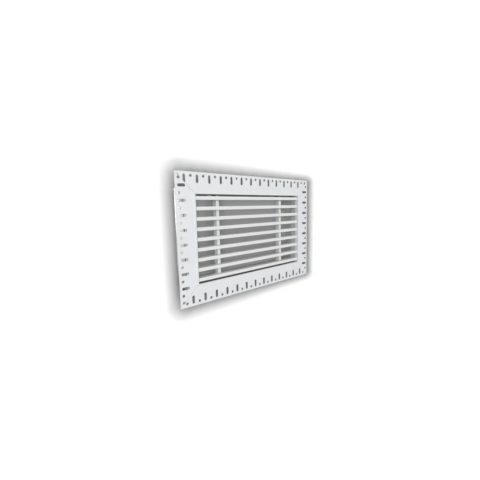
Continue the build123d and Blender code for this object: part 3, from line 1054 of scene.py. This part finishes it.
# %% [markdown]
# ## The core
#
# Nine level bars are pressed into the notches of two mullions and pinned to a plate at each end. A bar is
# a flat strip on edge. Its nose, which faces the room, has a small even radius and its tail a larger one,
# so a box with two bevels makes it. At each end the tail is cut back by the thickness of the end plate,
# while the nose runs on in front of the plate and hides it.
#
# The bars are alike, so one is made in the middle and the rest are copies of its mesh, moved to where the
# packed bars are.

# %% Make the bars
END_PLATE_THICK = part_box("end_plate_right")[1].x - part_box("end_plate_right")[0].x
END_PLATE_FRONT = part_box("end_plate_right")[0].y
bar_low, bar_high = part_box("bar_5")
bar_middle_z = (bar_low.z + bar_high.z) / 2
NOSE_ROUND = 0.5 * MM
TAIL_ROUND = 1.0 * MM
PIN_RADIUS = 1.3 * MM
PIN_REACH = 8 * MM
PIN_Y = (END_PLATE_FRONT + bar_high.y) / 2
BARS = range(1, 10)

bm = box_between(bar_low, bar_high)
for depth, radius, segments in ((bar_low.y, NOSE_ROUND, 4), (bar_high.y, TAIL_ROUND, 5)):
    lengthwise = [e for e in bm.edges if runs_along(e, "x") and abs(e.verts[0].co.y - depth) < TINY]
    round_off(bm, lengthwise, radius, segments)
one_bar = mesh_object("one_bar", bm)
steps = bmesh.new()
pin_holes = bmesh.new()
for hand in (-1, 1):
    step_x = hand * (bar_high.x - END_PLATE_THICK)
    reach = sorted((step_x, step_x + hand * PAST_END))
    block(steps, reach, (END_PLATE_FRONT, bar_high.y + PAST_END),
          (bar_low.z - PAST_END, bar_high.z + PAST_END))
    disc_rod(pin_holes, (step_x + hand * MM, PIN_Y, bar_middle_z), (-hand, 0, 0), PIN_REACH + MM,
             PIN_RADIUS, segments=20)
cut_away(one_bar, steps)
cut_away(one_bar, pin_holes)
for number in BARS:
    node = f"bar_{number}"
    node_low, node_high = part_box(node)
    mesh = one_bar.data.copy()
    mesh.transform(Matrix.Translation((0, 0, (node_low.z + node_high.z) / 2 - bar_middle_z)))
    bar = new_object(f"rounded_{node}", mesh)
    finish_piece(bar, "core", [node], bar_coat, soft_edge=0.12 * MM)
bpy.data.objects.remove(one_bar)
print("bars", [round(v / MM, 2) for v in bar_high - bar_low], "mm each")

# %% [markdown]
# A mullion is a comb: a thick strip with a notch for every bar, seen in the gaps as a broken upright
# behind the bars. It is a box with rounded front edges and nine blocks taken out.

# %% Make the mullions
MULLION_ROUND = 0.45 * MM

for hand in ("left", "right"):
    node = f"mullion_{hand}"
    node_low, node_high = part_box(node)
    bm = box_between(node_low, node_high)
    round_off(bm, [e for e in bm.edges if runs_along(e, "z")], MULLION_ROUND, 4)
    mullion = mesh_object(f"notched_{node}", bm)
    notches = bmesh.new()
    for number in BARS:
        notch_low, notch_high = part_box(f"bar_{number}")
        block(notches, (node_low.x - PAST_END, node_high.x + PAST_END),
              (node_low.y - PAST_END, notch_high.y), (notch_low.z, notch_high.z))
    cut_away(mullion, notches)
    finish_piece(mullion, "core", [node], mullion_coat, soft_edge=0.12 * MM)
    print(mullion.name, "with", len(BARS), "notches")

# %% [markdown]
# The end plates are plain strips with a countersunk hole for each bar's pin. Countersinks are cones, so
# the cutting tool for each is a cone and a rod. The pins are turned, with a small dimple in the head from
# the tool that set them.

# %% Make the end plates and pins
PIN_HEAD_RADIUS = 2.4 * MM
PIN_HEAD_DEPTH = 1.1 * MM
CONE_START = 0.2 * MM       # the countersink's cone starts this far outside the plate
DRILL_DEPTH = 4 * MM
CLIP_LENGTH = 30 * MM
CLIP_FOOT = 7 * MM
CLIP_RIVET_RADIUS = 0.8 * MM
bar_heights = [sum(corner.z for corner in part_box(f"bar_{number}")) / 2 for number in BARS]
clip_low, clip_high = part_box("spring_clip_top_right")
CLIP_Y = (clip_low.y + clip_high.y) / 2
CLIP_FOOT_Z = clip_low.z + CLIP_FOOT / 2

for name, hand in (("left", -1), ("right", 1)):
    node = f"end_plate_{name}"
    node_low, node_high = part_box(node)
    plate = mesh_object(f"drilled_{node}", box_between(node_low, node_high))
    outside = node_high.x if hand > 0 else node_low.x
    cones = bmesh.new()
    drills = bmesh.new()
    for height in bar_heights:
        start = (outside + hand * CONE_START, PIN_Y, height)
        slope = (PIN_HEAD_RADIUS - PIN_RADIUS) / PIN_HEAD_DEPTH
        disc_rod(cones, start, (-hand, 0, 0), PIN_HEAD_DEPTH + CONE_START,
                 PIN_HEAD_RADIUS + CONE_START * slope, PIN_RADIUS)
        disc_rod(drills, start, (-hand, 0, 0), DRILL_DEPTH, PIN_RADIUS, segments=20)
    for up in (-1, 1):
        disc_rod(drills, (outside + hand * MM, CLIP_Y, up * CLIP_FOOT_Z), (-hand, 0, 0), DRILL_DEPTH,
                 CLIP_RIVET_RADIUS + HAIR, segments=20)
    cut_away(plate, cones)
    cut_away(plate, drills)
    finish_piece(plate, "core", [node], end_plate_coat, soft_edge=0.08 * MM)

    pin_profile = [
        (0, -END_PLATE_THICK - PIN_REACH),
        (PIN_RADIUS, -END_PLATE_THICK - PIN_REACH),
        (PIN_RADIUS, -PIN_HEAD_DEPTH),
        (PIN_HEAD_RADIUS - 0.03 * MM, -0.05 * MM),
        (PIN_HEAD_RADIUS - 0.10 * MM, 0),
        (0.9 * MM, 0),
        (0.5 * MM, -0.35 * MM),
        (0, -0.45 * MM),
    ]
    pins = bmesh.new()
    for height in bar_heights:
        turned(pins, pin_profile, (outside, PIN_Y, height), (hand, 0, 0), segments=24)
    set_pins = mesh_object(f"set_pins_{name}", pins)
    finish_piece(set_pins, "core", [f"bar_pins_{name}"], zinc_plate, soft_edge=0)
    print(len(bar_heights), "pins set in", plate.name)

# %% [markdown]
# ## Spring clips
#
# Four bowed leaves of spring steel grip the frame when the core is pushed in. A leaf is a ribbon: a row
# of points up the plate that lifts off in one smooth hump, pulled sideways to its width, and given its
# thickness by a second extrusion. The hump is one turn of a cosine, so it leaves the plate with no kink.

# %% Make the clips and their rivets
CLIP_THICK = 0.4 * MM
CLIP_TOE = 2 * MM
BOW_STEPS = 16
clip_bow = clip_high.x - bar_high.x - CLIP_THICK
clip_width = clip_high.y - clip_low.y


def clip_leaf():
    """The top right clip, seen from its foot, near the middle of the grille, up to its toe."""
    bm = bmesh.new()
    start, end = CLIP_FOOT, CLIP_LENGTH - CLIP_TOE
    bow = [start + (end - start) * i / BOW_STEPS for i in range(BOW_STEPS + 1)]
    heights = [0, CLIP_FOOT / 2] + bow + [CLIP_LENGTH]
    row = []
    for height in heights:
        part = min(max((height - start) / (end - start), 0), 1)
        lift = clip_bow * (1 - math.cos(2 * math.pi * part)) / 2
        row.append(bm.verts.new((bar_high.x + lift, clip_low.y, clip_low.z + height)))
    edges = [bm.edges.new(pair) for pair in zip(row, row[1:])]
    drag_end(bm, bmesh.ops.extrude_edge_only(bm, edges=edges), (0, clip_width, 0))
    bmesh.ops.recalc_face_normals(bm, faces=bm.faces)
    facing = sum(face.normal.x for face in bm.faces)
    if facing < 0:
        bmesh.ops.reverse_faces(bm, faces=bm.faces)
    grown = bmesh.ops.extrude_face_region(bm, geom=bm.faces[:], use_keep_orig=True)
    drag_end(bm, grown, (CLIP_THICK, 0, 0))
    return bm


leaf = mesh_object("one_leaf", clip_leaf())
foot_hole = bmesh.new()
disc_rod(foot_hole, (bar_high.x - MM, CLIP_Y, CLIP_FOOT_Z), (1, 0, 0), DRILL_DEPTH,
         CLIP_RIVET_RADIUS + HAIR, segments=20)
cut_away(leaf, foot_hole)
clip_rivet_profile = [
    (0, -END_PLATE_THICK - CLIP_THICK),
    (CLIP_RIVET_RADIUS, -END_PLATE_THICK - CLIP_THICK),
    (CLIP_RIVET_RADIUS, 0),
    (1.7 * MM, 0),
    (1.6 * MM, 0.16 * MM),
    (1.2 * MM, 0.27 * MM),
    (0, 0.3 * MM),
]
clip_rivets = bmesh.new()
for level, up in (("top", 1), ("bottom", -1)):
    for name, hand in (("left", -1), ("right", 1)):
        node = f"spring_clip_{level}_{name}"
        mesh = leaf.data.copy()
        mesh.transform(Matrix.Diagonal((hand, 1, up, 1)))
        if hand * up < 0:
            mesh.flip_normals()
        clip = new_object(f"bowed_{node}", mesh)
        finish_piece(clip, "core", [node], spring_steel, soft_edge=0.04 * MM, rounds=1)
        on_clip = (hand * (bar_high.x + CLIP_THICK), CLIP_Y, up * CLIP_FOOT_Z)
        turned(clip_rivets, clip_rivet_profile, on_clip, (hand, 0, 0), segments=20)
bpy.data.objects.remove(leaf)
rivet_heads = mesh_object("clip_rivet_heads", clip_rivets)
finish_piece(rivet_heads, "core", ["clip_rivets"], rivet_metal, soft_edge=0)
print("clips bow out by", round(clip_bow / MM, 2), "mm")

# %% [markdown]
# ## Corner cleats
#
# The cleats are driven into the hollow members and never seen again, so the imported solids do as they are.
# Two modifiers tidy them: Weld joins their loose triangles, and then Bevel can find the real edges.

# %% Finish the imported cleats
cleats = [node for name, node in frame["nodes"].items() if "cleat" in name]
for node in cleats:
    node.data.materials.clear()
    node.data.materials.append(cleat_cast)
    weld = node.modifiers.new("weld", "WELD")
    weld.merge_threshold = TINY
    edge = node.modifiers.new("soft_edges", "BEVEL")
    edge.width = 0.5 * MM
    edge.segments = 2
    edge.limit_method = "ANGLE"
    edge.angle_limit = SHARP
print(len(cleats), "cleats finished")

# %% [markdown]
# ## Tidy up
#
# Unused meshes are removed and the solids' box is printed. The looks have to stay inside the solids' box,
# near enough.

# %% Tidy up and print the solids' box
for mesh in [m for m in bpy.data.meshes if m.users == 0]:
    bpy.data.meshes.remove(mesh)
print("box of the solids", [round(v / MM, 2) for corner in cad_bounds for v in corner])
